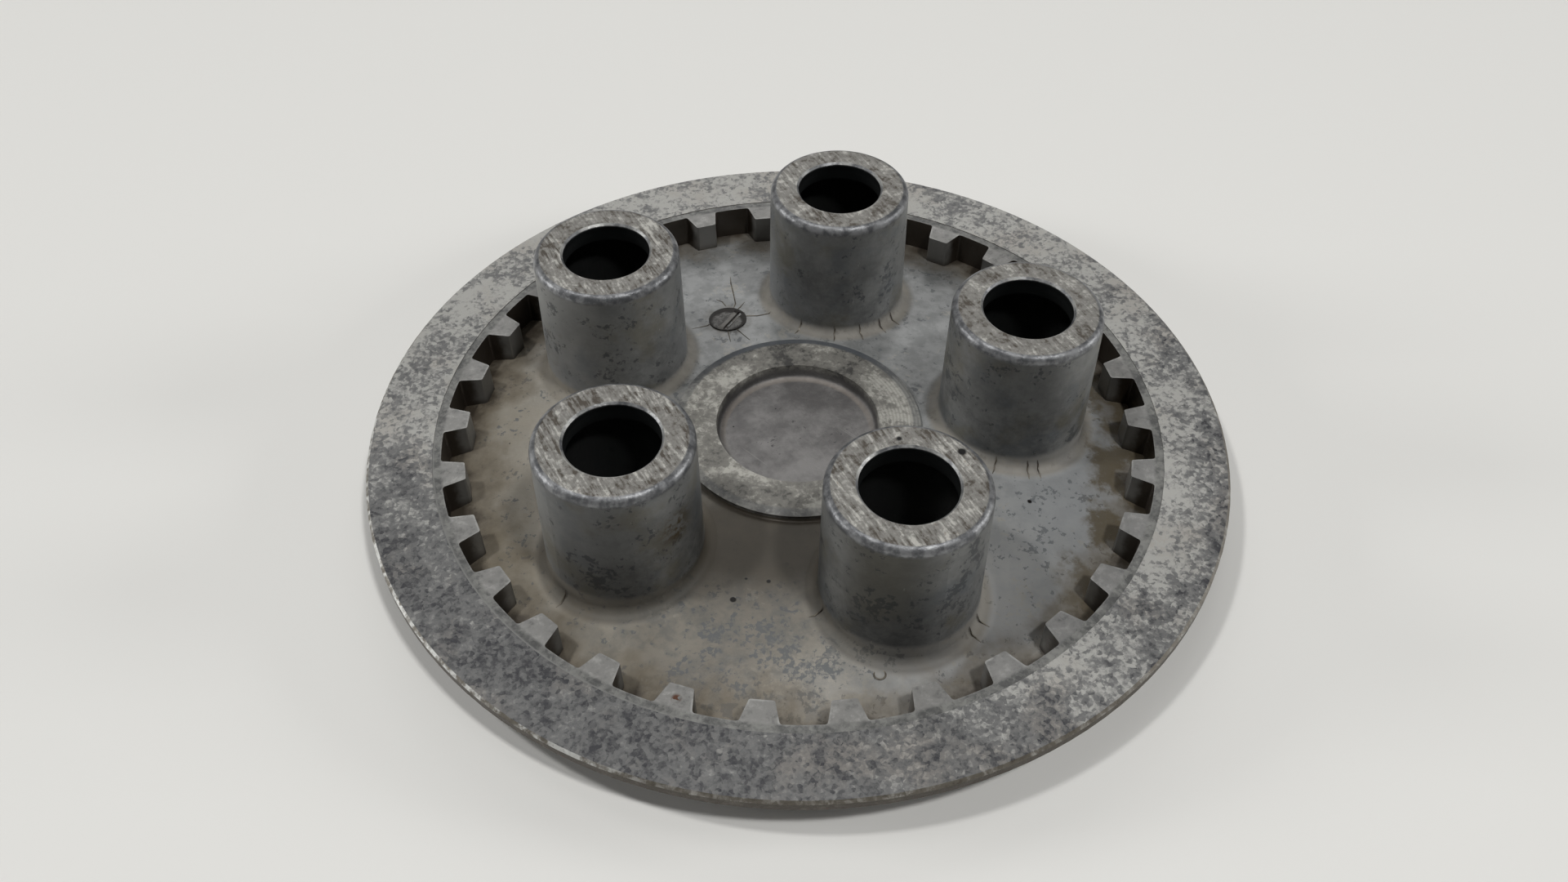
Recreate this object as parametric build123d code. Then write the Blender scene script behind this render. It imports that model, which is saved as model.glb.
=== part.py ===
from build123d import *
import math
import os

# A clutch pressure plate, one die casting in real life, split here into its named regions.
# Sizes are in millimetres. The plate lies on its back at z = 0 with +Z towards the friction
# side, and the first spring tower stands on +X. Depths are measured down from the friction face.

# Friction flange
FACE_WIDTH = 9.8
RIM_HEIGHT = 2.0
RIM_CHAMFER = 0.4
FLANGE_ROOT_THICKNESS = 3.2
FLANGE_UNDER_FILLET = 1.2

# Spline ring
BAND_WIDTH = 1.3
BAND_DEPTH = 0.1
TOOTH_COUNT = 30
TOOTH_HEIGHT = 3.55
TOOTH_ROOT_WIDTH = 5.4
TOOTH_TIP_WIDTH = 3.4
TOOTH_DRAFT_DEG = 1.5
TOOTH_ROOT_FILLET = 0.5
TOOTH_TIP_FILLET = 0.35
FLOOR_DEPTH = 5.8
FLOOR_THICKNESS = 3.2
RING_LAND = 1.0
RING_EDGE_CHAMFER = 0.5

# Domed web, with the dish in its back
WEB_CROWN_DEPTH = 1.2
WEB_THICKNESS = 3.4
DISH_EDGE_STEP = 0.5
STAMP_R = 2.3
STAMP_DEPTH = 0.35
STAMP_INSET = 4.0
STAMP_TOWER_PITCHES = 1.5

# Thrust pad
RECESS_R = 12.75
RECESS_DEPTH = 2.4
RECESS_WALL_SLOPE = 0.3
RECESS_CORNER_FILLET = 1.3
PAD_WIDTH = 6.55
PAD_DEPTH = 0.65
PAD_BEVEL_WIDTH = 1.4
PAD_BEVEL_DROP = 0.3
PAD_FOOT_FILLET = 0.5
PAD_SEAT_MARGIN = 0.9
PAD_BACK_OVERHANG = 2.25
PAD_BACK_WALL_SLOPE = 0.8
PAD_BACK_CHAMFER = 0.6
PAD_BACK_FILLET = 0.8
PAD_FLOOR_THICKNESS = 4.0

# Spring towers
TOWER_COUNT = 5
POST_HOLE_R = 6.7
POST_HOLE_CHAMFER = 0.3
SPRING_LEDGE = 2.55
POCKET_LEAD_IN = 0.4
POCKET_END_CHAMFER = 0.5
POCKET_END_WALL = 3.0
TOWER_WALL = 2.0
TOWER_DRAFT = 0.3
TOWER_RISE = 19.6
TOWER_EDGE_FILLET = 1.3
TOWER_FOOT_FILLET = 1.5
TOWER_BACK_FILLET = 0.8
TOWER_SEAT_MARGIN = 0.3

# Strips of web that stay between the seats
PAD_TO_TOWER = 0.55
TOWER_TO_RING = 2.9

# Radii that follow from the inside out
PAD_R = RECESS_R + PAD_WIDTH
PAD_BACK_R = RECESS_R + PAD_BACK_OVERHANG
PAD_SEAT_R = PAD_R + PAD_SEAT_MARGIN
POCKET_R = POST_HOLE_R + SPRING_LEDGE
TOWER_TOP_R = POCKET_R + TOWER_WALL
TOWER_FOOT_R = TOWER_TOP_R + TOWER_DRAFT
TOWER_SEAT_R = TOWER_FOOT_R + TOWER_FOOT_FILLET + TOWER_SEAT_MARGIN
TOWER_CIRCLE_R = PAD_SEAT_R + PAD_TO_TOWER + TOWER_SEAT_R
RING_INNER_R = TOWER_CIRCLE_R + TOWER_SEAT_R + TOWER_TO_RING
TIP_R = RING_INNER_R + RING_LAND
ROOT_R = TIP_R + TOOTH_HEIGHT
FACE_INNER_R = ROOT_R + BAND_WIDTH
OUTER_R = FACE_INNER_R + FACE_WIDTH

# Heights
FACE_Z = FLOOR_DEPTH + FLOOR_THICKNESS
BAND_Z = FACE_Z - BAND_DEPTH
TOWER_TOP_Z = FACE_Z + TOWER_RISE
WEB_CROWN_Z = FACE_Z - WEB_CROWN_DEPTH


def cap_z(r, crown_z, edge_r, edge_z):
    """Height at radius r of a spherical cap with its crown on the axis and its edge at edge_r."""
    drop = crown_z - edge_z
    sphere_r = (edge_r**2 + drop**2) / (2 * drop)
    return crown_z - sphere_r + math.sqrt(sphere_r**2 - r**2)


def web_top(r):
    return cap_z(r, WEB_CROWN_Z, ROOT_R, FLOOR_THICKNESS)


def web_back(r):
    return cap_z(r, WEB_CROWN_Z - WEB_THICKNESS, RING_INNER_R, DISH_EDGE_STEP)


def cap_arc(height, start_r, end_r):
    """The section of a cap between two radii, as an arc through three points."""
    radii = (start_r, (start_r + end_r) / 2, end_r)
    return ThreePointArc(*[(r, height(r)) for r in radii])


def section(*lines):
    return make_face(Curve() + list(lines))


def corner(face, r, z):
    """The section's vertex that is nearest to a point."""
    return face.vertices().sort_by_distance((r, z, 0))[0]


def turned(face):
    return revolve(Plane.XZ * face, Axis.Z)


def around(count, shape):
    return [Rot(0, 0, 360 / count * k) * shape for k in range(count)]


def friction_flange():
    """The flat friction face, its chamfered rim and the tapered underside."""
    rim_base_z = FACE_Z - RIM_HEIGHT
    root_z = FACE_Z - FLANGE_ROOT_THICKNESS
    outline = Polyline(
        (FACE_INNER_R, FACE_Z),
        (OUTER_R - RIM_CHAMFER, FACE_Z),
        (OUTER_R, FACE_Z - RIM_CHAMFER),
        (OUTER_R, rim_base_z + RIM_CHAMFER),
        (OUTER_R - RIM_CHAMFER, rim_base_z),
        (FACE_INNER_R + FLANGE_UNDER_FILLET, root_z),
    )
    under = RadiusArc(
        (FACE_INNER_R + FLANGE_UNDER_FILLET, root_z),
        (FACE_INNER_R, root_z - FLANGE_UNDER_FILLET),
        -FLANGE_UNDER_FILLET,
    )
    back = Line((FACE_INNER_R, root_z - FLANGE_UNDER_FILLET), (FACE_INNER_R, FACE_Z))
    return turned(section(outline, under, back))


def tooth_plan():
    """One wedge-shaped tooth on +X, seen from above, that reaches past the root circle."""
    overlap = BAND_WIDTH / 2
    widening = (TOOTH_ROOT_WIDTH - TOOTH_TIP_WIDTH) / TOOTH_HEIGHT
    outside_width = TOOTH_ROOT_WIDTH + widening * overlap
    plan = Polyline(
        (TIP_R, -TOOTH_TIP_WIDTH / 2),
        (ROOT_R + overlap, -outside_width / 2),
        (ROOT_R + overlap, outside_width / 2),
        (TIP_R, TOOTH_TIP_WIDTH / 2),
        close=True,
    )
    wedge = make_face(plan)
    return fillet(wedge.vertices().sort_by(Axis.X)[:2], TOOTH_TIP_FILLET)


def hub_window():
    """The drafted opening inside the ring, with all the teeth standing into it."""
    half_pitch = Rot(0, 0, 180 / TOOTH_COUNT)
    plan = Circle(ROOT_R) - around(TOOTH_COUNT, half_pitch * tooth_plan())
    roots = [v for v in plan.vertices() if math.isclose(math.hypot(v.X, v.Y), ROOT_R, abs_tol=0.001)]
    plan = fillet(roots, TOOTH_ROOT_FILLET)
    depth = BAND_Z - FLOOR_THICKNESS / 2
    return Pos(0, 0, BAND_Z) * extrude(plan, amount=-depth, taper=TOOTH_DRAFT_DEG)


def spline_ring():
    """The ring that carries the internal teeth, the floor below them and the rest face."""
    floor = turned(
        section(
            Polyline(
                (FACE_INNER_R, web_top(ROOT_R)),
                (FACE_INNER_R, RING_EDGE_CHAMFER),
                (FACE_INNER_R - RING_EDGE_CHAMFER, 0),
                (RING_INNER_R, 0),
                (RING_INNER_R, web_top(RING_INNER_R)),
            ),
            cap_arc(web_top, RING_INNER_R, ROOT_R),
            Line((ROOT_R, web_top(ROOT_R)), (FACE_INNER_R, web_top(ROOT_R))),
        )
    )
    wall_height = BAND_Z - FLOOR_THICKNESS / 2
    wall = Cylinder(FACE_INNER_R, wall_height, align=(Align.CENTER, Align.CENTER, Align.MAX))
    return floor + (Pos(0, 0, BAND_Z) * wall - hub_window())


def web_blank():
    """The domed and dished disc between the thrust pad and the spline ring, without its holes."""
    return turned(
        section(
            cap_arc(web_top, PAD_SEAT_R, RING_INNER_R),
            Line((RING_INNER_R, web_top(RING_INNER_R)), (RING_INNER_R, web_back(RING_INNER_R))),
            cap_arc(web_back, RING_INNER_R, PAD_SEAT_R),
            Line((PAD_SEAT_R, web_back(PAD_SEAT_R)), (PAD_SEAT_R, web_top(PAD_SEAT_R))),
        )
    )


def tower_column(radius):
    """A cylinder on the first tower's axis, taller than the plate."""
    column = Cylinder(radius, 2 * TOWER_TOP_Z, align=(Align.CENTER, Align.CENTER, Align.MIN))
    return Pos(TOWER_CIRCLE_R, 0, -TOWER_TOP_Z / 2) * column


def web_plate():
    """The domed web with five round seats for the towers and the shallow casting stamp."""
    distance = TOWER_CIRCLE_R - STAMP_INSET
    between_towers = Rot(0, 0, STAMP_TOWER_PITCHES * 360 / TOWER_COUNT)
    bottom_z = web_top(distance + STAMP_R) - STAMP_DEPTH
    stamp = Cylinder(STAMP_R, FACE_Z, align=(Align.CENTER, Align.CENTER, Align.MIN))
    stamp = between_towers * Pos(distance, 0, bottom_z) * stamp
    return web_blank() - around(TOWER_COUNT, tower_column(TOWER_SEAT_R)) - stamp


def thrust_pad():
    """The raised centre ring with its blind recess, and the boss behind it."""
    top_z = FACE_Z - PAD_DEPTH
    floor_z = top_z - RECESS_DEPTH
    back_z = floor_z - PAD_FLOOR_THICKNESS
    back_foot_r = PAD_BACK_R + PAD_BACK_WALL_SLOPE
    face = section(
        Polyline(
            (PAD_R, web_top(PAD_R)),
            (PAD_R, top_z - PAD_BEVEL_DROP),
            (PAD_R - PAD_BEVEL_WIDTH, top_z),
            (RECESS_R, top_z),
            (RECESS_R - RECESS_WALL_SLOPE, floor_z),
            (0, floor_z),
            (0, back_z),
            (PAD_BACK_R - PAD_BACK_CHAMFER, back_z),
            (PAD_BACK_R, back_z + PAD_BACK_CHAMFER),
            (back_foot_r, web_back(back_foot_r)),
        ),
        cap_arc(web_back, back_foot_r, PAD_SEAT_R),
        Line((PAD_SEAT_R, web_back(PAD_SEAT_R)), (PAD_SEAT_R, web_top(PAD_SEAT_R))),
        cap_arc(web_top, PAD_SEAT_R, PAD_R),
    )
    face = fillet(corner(face, RECESS_R - RECESS_WALL_SLOPE, floor_z), RECESS_CORNER_FILLET)
    face = fillet(corner(face, PAD_R, web_top(PAD_R)), PAD_FOOT_FILLET)
    face = fillet(corner(face, back_foot_r, web_back(back_foot_r)), PAD_BACK_FILLET)
    return turned(face)


def web_middle_z():
    """A height that is inside the web all round a tower's foot."""
    return (web_top(TOWER_CIRCLE_R) + web_back(TOWER_CIRCLE_R)) / 2


def tower_outside():
    """The drafted tube's outer form, straight below the web, with a rounded top edge."""
    face = make_face(
        Polyline(
            (0, 0),
            (TOWER_FOOT_R, 0),
            (TOWER_FOOT_R, web_middle_z()),
            (TOWER_TOP_R, TOWER_TOP_Z),
            (0, TOWER_TOP_Z),
            close=True,
        )
    )
    face = fillet(corner(face, TOWER_TOP_R, TOWER_TOP_Z), TOWER_EDGE_FILLET)
    return Pos(TOWER_CIRCLE_R, 0, 0) * turned(face)


def tower_inside():
    """The spring pocket, open at the back, and the post hole through its end wall."""
    end_z = TOWER_TOP_Z - POCKET_END_WALL
    face = make_face(
        Polyline(
            (0, 0),
            (POCKET_R + POCKET_LEAD_IN, 0),
            (POCKET_R, POCKET_LEAD_IN),
            (POCKET_R, end_z - POCKET_END_CHAMFER),
            (POCKET_R - POCKET_END_CHAMFER, end_z),
            (POST_HOLE_R, end_z),
            (POST_HOLE_R, TOWER_TOP_Z - POST_HOLE_CHAMFER),
            (POST_HOLE_R + POST_HOLE_CHAMFER, TOWER_TOP_Z),
            (0, TOWER_TOP_Z),
            close=True,
        )
    )
    return Pos(TOWER_CIRCLE_R, 0, 0) * turned(face)


def spring_tower():
    """One tower on +X with its round seat in the web, filleted above and below."""
    seat = web_blank() & tower_column(TOWER_SEAT_R)
    outside = tower_outside()
    tower = seat + outside
    meeting = new_edges(seat, outside, combined=tower)
    above = [edge for edge in meeting if edge.center().Z > web_middle_z()]
    tower = fillet(above, TOWER_FOOT_FILLET)
    meeting = new_edges(seat, outside, combined=tower)
    below = [edge for edge in meeting if edge.center().Z < web_middle_z()]
    tower = fillet(below, TOWER_BACK_FILLET)
    return tower - tower_inside()


def main():
    os.makedirs("parts", exist_ok=True)
    nodes = {
        "friction_flange": friction_flange(),
        "spline_ring": spline_ring(),
        "web_plate": web_plate(),
        "thrust_pad": thrust_pad(),
    }
    for number, tower in enumerate(around(TOWER_COUNT, spring_tower()), start=1):
        nodes[f"spring_tower_{number}"] = tower
    for name, shape in nodes.items():
        export_step(shape, f"parts/{name}.step")


main()
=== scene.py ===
import math

import bpy
from mathutils import Matrix, Vector


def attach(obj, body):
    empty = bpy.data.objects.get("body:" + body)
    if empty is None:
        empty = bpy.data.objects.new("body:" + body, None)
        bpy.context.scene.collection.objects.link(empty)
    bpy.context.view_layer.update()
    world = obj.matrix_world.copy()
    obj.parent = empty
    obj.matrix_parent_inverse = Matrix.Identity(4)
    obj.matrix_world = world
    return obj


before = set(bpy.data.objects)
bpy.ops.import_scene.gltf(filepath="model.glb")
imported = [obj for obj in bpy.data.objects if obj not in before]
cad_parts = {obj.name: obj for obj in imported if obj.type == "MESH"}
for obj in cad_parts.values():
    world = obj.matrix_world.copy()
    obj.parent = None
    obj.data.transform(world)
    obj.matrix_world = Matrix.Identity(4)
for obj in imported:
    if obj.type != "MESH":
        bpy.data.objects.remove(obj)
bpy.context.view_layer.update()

# Sizes of the casting, in metres, as the CAD part has them
OUTER_R = 0.066
FACE_Z = 0.009
FACE_INNER_R = 0.0562
TOOTH_ROOT_R = 0.0549
TOOTH_TIP_R = 0.05135
TOOTH_PITCH = math.radians(12)
TOOTH_TIP_HALF = 0.0017
TOOTH_WIDENING = 0.2817
PAD_R = 0.0193
PAD_BEVEL_R = 0.0179
RECESS_R = 0.01275
TOWER_COUNT = 5
TOWER_PITCH = math.radians(72)
TOWER_CIRCLE_R = 0.0341
TOWER_FOOT_R = 0.01155
TOWER_TOP_Z = 0.0286
TOWER_EDGE_Z = 0.0273
POST_HOLE_R = 0.0067
POCKET_PLACE = (-0.0093, 0.02863)
POCKET_R = 0.0023
WEB_CROWN_Z = 0.0078
WEB_EDGE_Z = 0.0032

# The round stamp as the photograph shows it, with a ridge and a slot that cross it on a slant
STAMP_PLACE = (-0.0088, 0.02705)
STAMP_R = 0.0032
STAMP_RIM = 0.0004
STAMP_RISE = 0.00022
STAMP_THICKNESS = 0.0006
STAMP_DISH_DEPTH = 0.0001
STAMP_MIDDLE_R = 0.0022
STAMP_SLANT = math.radians(54)
STAMP_WORN_EDGE = 0.00006
RIDGE_LOW, RIDGE_HIGH = -0.0008, 0.0002
RIDGE_RISE = 0.0002
SLOT_LOW = -0.0013
SLOT_DEPTH = 0.00018
# Middle of the metal inside the stamp's dark ring of grime and painted shade, off centre so the
# ring is thicker at the back
STAMP_CLEAR_MIDDLE = (-0.0090, 0.02655)

# The cover over the CAD part's stamp pocket
COVER_OVERLAP = 0.00008
COVER_RISE = 0.000015
COVER_THICKNESS = 0.0003
COVER_RIM = 0.00012
COVER_CROWN = 0.000004

# Other marks that the photograph shows, as places on the plate
FRONT_CRUST = (-0.010, -0.044)
RIGHT_CRUST = (0.033, -0.024)
FLAKED_METAL = (-0.004, -0.047)
# Middle of the painted shadow on the web in front of the pad
PAD_SHADE = (-0.007, -0.0215)
WEB_SPOTS = (
    (-0.01293, -0.03160, 0.00045), (-0.00764, -0.02924, 0.0003), (-0.01079, -0.02841, 0.0002),
    (0.03307, -0.01798, 0.00035),
)
TOP_SPOTS = ((0.01845, -0.02756, 0.0006), (0.01057, -0.02429, 0.0004))
RUSTY_TOOTH = (-0.02176, -0.04879)
OLIVE_CLOUD = (0.0060, -0.0430)
OLIVE_STAIN = (-0.01995, -0.02848, 0.0195)
# Crowds of dark flecks on tower walls: place, height and half of how tall the crowd is
WALL_FLECKS = (
    (0.0168, -0.0420, 0.0195, 0.0075), (0.0041, -0.0419, 0.0145, 0.0035),
    (-0.0298, -0.0313, 0.0130, 0.0045),
)
RING_MARK = (0.00584, -0.04531)
RING_MARK_R = 0.0008
RING_MARK_WIRE_R = 0.00014
RING_MARK_SINK = 0.00006

# Sizes of the patterns in the finishes: grains, turning lines, and the skin of the casting
CAST_GRAIN = 0.0006
OXIDE_GRAIN = 0.00055
FINE_GRAIN = 0.0005
TURNING_LINES = 2 * math.pi / 0.00055
CAST_SKIN_PER_METRE = 700
CAST_SKIN_DEPTH = 0.00004
OXIDE_DEPTH = 0.00009
WORN_METAL_DEPTH = 0.00006

# Thin raised lines on the web that cracks in the die left: points on the plate, in millimetres
MM = 0.001
STAMP_VEINS = (
    ((-7.0, 27.7), (-5.3, 27.6), (-3.7, 27.4), (-1.6, 27.8), (-0.9, 28.9)),
    ((-7.6, 30.0), (-7.1, 31.5), (-7.2, 34.4), (-7.4, 37.6), (-7.3, 39.8)),
    ((-8.8, 30.9), (-9.3, 32.3), (-10.3, 33.2)),
    ((-7.1, 29.6), (-6.4, 30.3), (-5.5, 31.7)),
    ((-11.5, 26.6), (-12.4, 25.9), (-15.0, 25.5)),
    ((-9.2, 26.4), (-9.0, 23.4), (-8.8, 20.9)),
    ((-8.1, 26.7), (-7.4, 24.0), (-5.6, 21.0)),
)
STAMP_VEIN_THICKNESS = 0.0002
STAMP_VEIN_LIFT = 0.00002
# How far such a line is out from a tower's foot and above the web as it climbs, in metres
FOOT_SECTION = (
    (0.0021, -0.00002), (0.0012, 0.00006), (0.0006, 0.0004), (0.0002, 0.0010), (0.00004, 0.0018),
)
# The same lines over a tower's foot: tower number, direction from its axis in degrees
FOOT_VEINS = (
    (1, 246), (1, 270), (1, 278), (2, 232), (2, 261), (2, 282), (2, 301), (2, 315),
    (3, 250), (3, 296), (4, 221), (5, 194), (5, 318), (5, 330),
)
FOOT_VEIN_THICKNESS = 0.00022
FOOT_VEIN_SWAY = 0.00006

# The photograph's camera
CAMERA_PLACE = (-0.018757, -0.145379, 0.158706)
CAMERA_TILT_DEG = 43.42
CAMERA_TURN_DEG = -6.51
CAMERA_ROLL_DEG = 0.158
LENS_MM = 30.80
SENSOR_MM = 36.0
NEAREST_SEEN = 0.01


def tone(red, green, painted_blue_reflection):
    """A colour read as it shows on screen, 0 to 255, as the linear colour a shader wants."""
    def linear(value):
        value /= 255
        return value / 12.92 if value <= 0.04045 else ((value + 0.055) / 1.055) ** 2.4

    return (linear(red), linear(green), linear(painted_blue_reflection), 1.0)


FLOOR_TONE = tone(224, 223, 219)
FLOOR_SIZE = 6.0
FLOOR_ROUGHNESS = 0.95
FLOOR_SHEEN = 0.08
SKY_STRENGTH = 0.05


class Finish:
    """One finish of the casting: a Principled shader with its pattern on object coordinates."""

    def __init__(self, name):
        self.material = bpy.data.materials.new(name)
        self.material.use_nodes = True
        self.tree = self.material.node_tree
        self.shader = self.tree.nodes["Principled BSDF"]
        self.place = self.node("ShaderNodeTexCoord").outputs["Object"]
        self.x, self.y, self.z = self.parts(self.place)
        normal = self.node("ShaderNodeNewGeometry").outputs["Normal"]
        self.east, self.north, self.up = self.parts(normal)
        self.radius = self.length(self.x, self.y)

    def node(self, kind, inputs=None, **settings):
        made = self.tree.nodes.new(kind)
        for name, value in settings.items():
            setattr(made, name, value)
        for name, value in (inputs or {}).items():
            self.feed(made.inputs[name], value)
        return made

    def feed(self, socket, value):
        """Joins a pattern to a socket, or sets the socket to a value."""
        if isinstance(value, bpy.types.NodeSocket):
            self.tree.links.new(value, socket)
        else:
            socket.default_value = value

    def parts(self, vector):
        split = self.node("ShaderNodeSeparateXYZ", {"Vector": vector})
        return split.outputs["X"], split.outputs["Y"], split.outputs["Z"]

    def math(self, operation, a, b=0.0, c=0.0):
        return self.node("ShaderNodeMath", {0: a, 1: b, 2: c}, operation=operation).outputs[0]

    def add(self, a, b):
        return self.math("ADD", a, b)

    def times(self, a, b):
        return self.math("MULTIPLY", a, b)

    def plus(self, base, value, weight):
        """The base plus a value times its weight."""
        return self.math("MULTIPLY_ADD", value, weight, base)

    def run(self, share, a, b):
        """A value that runs from a at share 0 to b at share 1."""
        return self.plus(a, share, b - a)

    def length(self, a, b):
        return self.math("SQRT", self.plus(self.times(b, b), a, a))

    def either(self, a, b):
        return self.math("MAXIMUM", a, b)

    def step(self, value, low, high):
        """0 below low, 1 above high, smooth between. Low above high turns it round."""
        made = self.node(
            "ShaderNodeMapRange",
            {"Value": value, "From Min": low, "From Max": high},
            interpolation_type="SMOOTHSTEP",
        )
        return made.outputs["Result"]

    def between(self, value, low, high, soft):
        """1 between low and high, fading over soft on both sides."""
        above = self.step(value, low - soft, low + soft)
        return self.times(above, self.step(value, high + soft, high - soft))

    def toward(self, degrees):
        """From -1 on the far side of the plate to 1 at the rim in one direction from +X."""
        angle = math.radians(degrees)
        northward = self.times(self.y, math.sin(angle) / OUTER_R)
        return self.plus(northward, self.x, math.cos(angle) / OUTER_R)

    def facing(self, degrees):
        """1 where a wall faces one direction from +X, 0 where it faces square to it."""
        angle = math.radians(degrees)
        northward = self.times(self.north, math.sin(angle))
        return self.plus(northward, self.east, math.cos(angle))

    def near(self, x, y, reach, soft):
        """1 within reach of a place on the plate, fading over soft."""
        away = self.length(self.add(self.x, -x), self.add(self.y, -y))
        return self.step(away, reach + soft, reach - soft)

    def noise(self, scale, detail=3.0, rough=0.55, stretch=(1, 1, 1), turn=0.0, shift=0.0):
        """Noise with so many features per metre, drawn out or turned if wanted, about 0.5."""
        mapped = self.node(
            "ShaderNodeMapping",
            {
                "Vector": self.place,
                "Location": (shift, shift, shift),
                "Rotation": (0, 0, turn),
                "Scale": stretch,
            },
            vector_type="TEXTURE",
        )
        made = self.node(
            "ShaderNodeTexNoise",
            {"Vector": mapped.outputs[0], "Scale": scale, "Detail": detail, "Roughness": rough},
        )
        return made.outputs["Fac"]

    def grains(self, size, shift=0.0):
        """A value from 0 to 1 for each ragged grain of about this size, in metres."""
        ragged = self.node(
            "ShaderNodeTexNoise", {"Vector": self.place, "Scale": 0.8 / size, "Detail": 2.0}
        )
        pushed = self.node(
            "ShaderNodeVectorMath",
            {0: ragged.outputs["Color"], 1: (size, size, size), 2: (shift, shift, shift)},
            operation="MULTIPLY_ADD",
        )
        moved = self.node(
            "ShaderNodeVectorMath", {0: self.place, 1: pushed.outputs[0]}, operation="ADD"
        )
        cells = self.node(
            "ShaderNodeTexVoronoi", {"Vector": moved.outputs[0], "Scale": 1 / size}
        )
        return self.parts(cells.outputs["Color"])[0]

    def speckle(self, size, shift=0.0):
        """Fine ragged speckle about 0, grains of one size among grains twice as large."""
        small = self.times(self.add(self.grains(size, shift), -0.5), 0.33)
        large = self.plus(small, self.add(self.grains(size * 2.1, shift + 0.3), -0.5), 0.24)
        mist = self.add(self.noise(0.4 / size, 6, 0.75, shift=shift), -0.5)
        return self.plus(large, mist, 1.0)

    def patches(self, size, spread, shift=0.0, detail=5.0):
        """Broad cloudy patches about 0, size in metres, spread how far they reach from 0."""
        return self.times(self.add(self.noise(1 / size, detail, 0.6, shift=shift), -0.5), spread)

    def pits(self, scale, size, share, shift=0.0):
        """Small round pits, a share of the cells of a grid with so many cells per metre."""
        moved = self.node(
            "ShaderNodeVectorMath", {0: self.place, 1: (shift, shift, shift)}, operation="ADD"
        )
        cells = self.node("ShaderNodeTexVoronoi", {"Vector": moved.outputs[0], "Scale": scale})
        spot = self.step(cells.outputs["Distance"], size * scale, size * scale * 0.5)
        chosen = self.step(self.parts(cells.outputs["Color"])[0], share, share - 0.02)
        return self.times(spot, chosen)

    def cast_skin(self, pits):
        """Relief of the cast surface: its fine grain with the pits sunk into it."""
        return self.add(self.noise(CAST_SKIN_PER_METRE, 4, 0.6), self.times(pits, -1.0))

    def mix(self, share, a, b):
        """Colour a at share 0, colour b at share 1."""
        made = self.node("ShaderNodeMix", data_type="RGBA")
        sockets = [s for s in made.inputs if s.enabled]
        for socket, value in zip(sockets, (share, a, b)):
            self.feed(socket, value)
        return next(s for s in made.outputs if s.enabled)

    def lay(self, under, where, share, colour):
        """Lays a colour over another where a pattern is 1, and only this share of it."""
        return self.mix(self.times(where, share), under, colour)

    def three_tones(self, level, dark, middle, pale):
        """Dark at level 0, middle at 0.5, pale at 1."""
        lower = self.mix(self.step(level, 0.0, 0.5), dark, middle)
        return self.mix(self.step(level, 0.5, 1.0), lower, pale)

    def folded(self, pitch, first=0.0):
        """The angle from the nearest of a ring of equal places, the first one at this angle."""
        angle = self.math("ARCTAN2", self.y, self.x)
        return self.math("WRAP", self.add(angle, -first), pitch / 2, -pitch / 2)

    def tower_axis(self):
        """Distance from the axis of the nearest tower."""
        turned = self.folded(TOWER_PITCH)
        along = self.add(self.times(self.radius, self.math("COSINE", turned)), -TOWER_CIRCLE_R)
        across = self.times(self.radius, self.math("SINE", turned))
        return self.length(along, across)

    def tooth_edge(self):
        """How far inside the outline of the nearest tooth's top a point is."""
        turned = self.folded(TOOTH_PITCH, TOOTH_PITCH / 2)
        across = self.math("ABSOLUTE", self.times(self.radius, self.math("SINE", turned)))
        half = self.plus(
            TOOTH_TIP_HALF - TOOTH_WIDENING * TOOTH_TIP_R, self.radius, TOOTH_WIDENING
        )
        from_side = self.add(half, self.times(across, -1))
        return self.math("MINIMUM", from_side, self.add(self.radius, -TOOTH_TIP_R))

    def finish(self, colour, metallic, roughness, height, depth):
        """Joins the pattern to the shader. Height is relief, depth metres from low to high."""
        self.feed(self.shader.inputs["Base Color"], colour)
        self.feed(self.shader.inputs["Metallic"], metallic)
        self.feed(self.shader.inputs["Roughness"], roughness)
        bump = self.node(
            "ShaderNodeBump", {"Height": height, "Distance": depth, "Strength": 1.0}
        )
        self.tree.links.new(bump.outputs[0], self.shader.inputs["Normal"])
        return self.material


def web_greys(pen, grain):
    """As-cast grey in clouds, warm toward the front left, with a painted sheen that makes it paler
    toward the right and left.
    """
    warm = pen.step(pen.patches(0.025, 2.2), -0.4, 0.4)
    warm = pen.mix(warm, tone(130, 125, 116), tone(151, 145, 133))
    colour = pen.mix(pen.step(pen.toward(240), 0.35, -0.1), warm, tone(140, 141, 140))
    cloudy = pen.step(pen.plus(pen.patches(0.0030, 2.2, 0.2), grain, 0.5), -0.3, 0.35)
    colour = pen.lay(colour, cloudy, 0.55, tone(100, 102, 101))
    # Painted sheen: paler toward the right.
    right = pen.step(pen.toward(318), 0.30, 0.65)
    colour = pen.lay(colour, right, 0.65, tone(160, 162, 163))
    # Painted sheen: paler toward the left.
    left = pen.step(pen.toward(180), 0.35, 0.7)
    colour = pen.lay(colour, left, 0.75, tone(170, 164, 152))
    tan = pen.step(pen.add(pen.toward(195), pen.patches(0.012, 1.6, 0.8)), 0.45, 1.0)
    return pen.lay(colour, tan, 0.35, tone(126, 116, 96))


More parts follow.
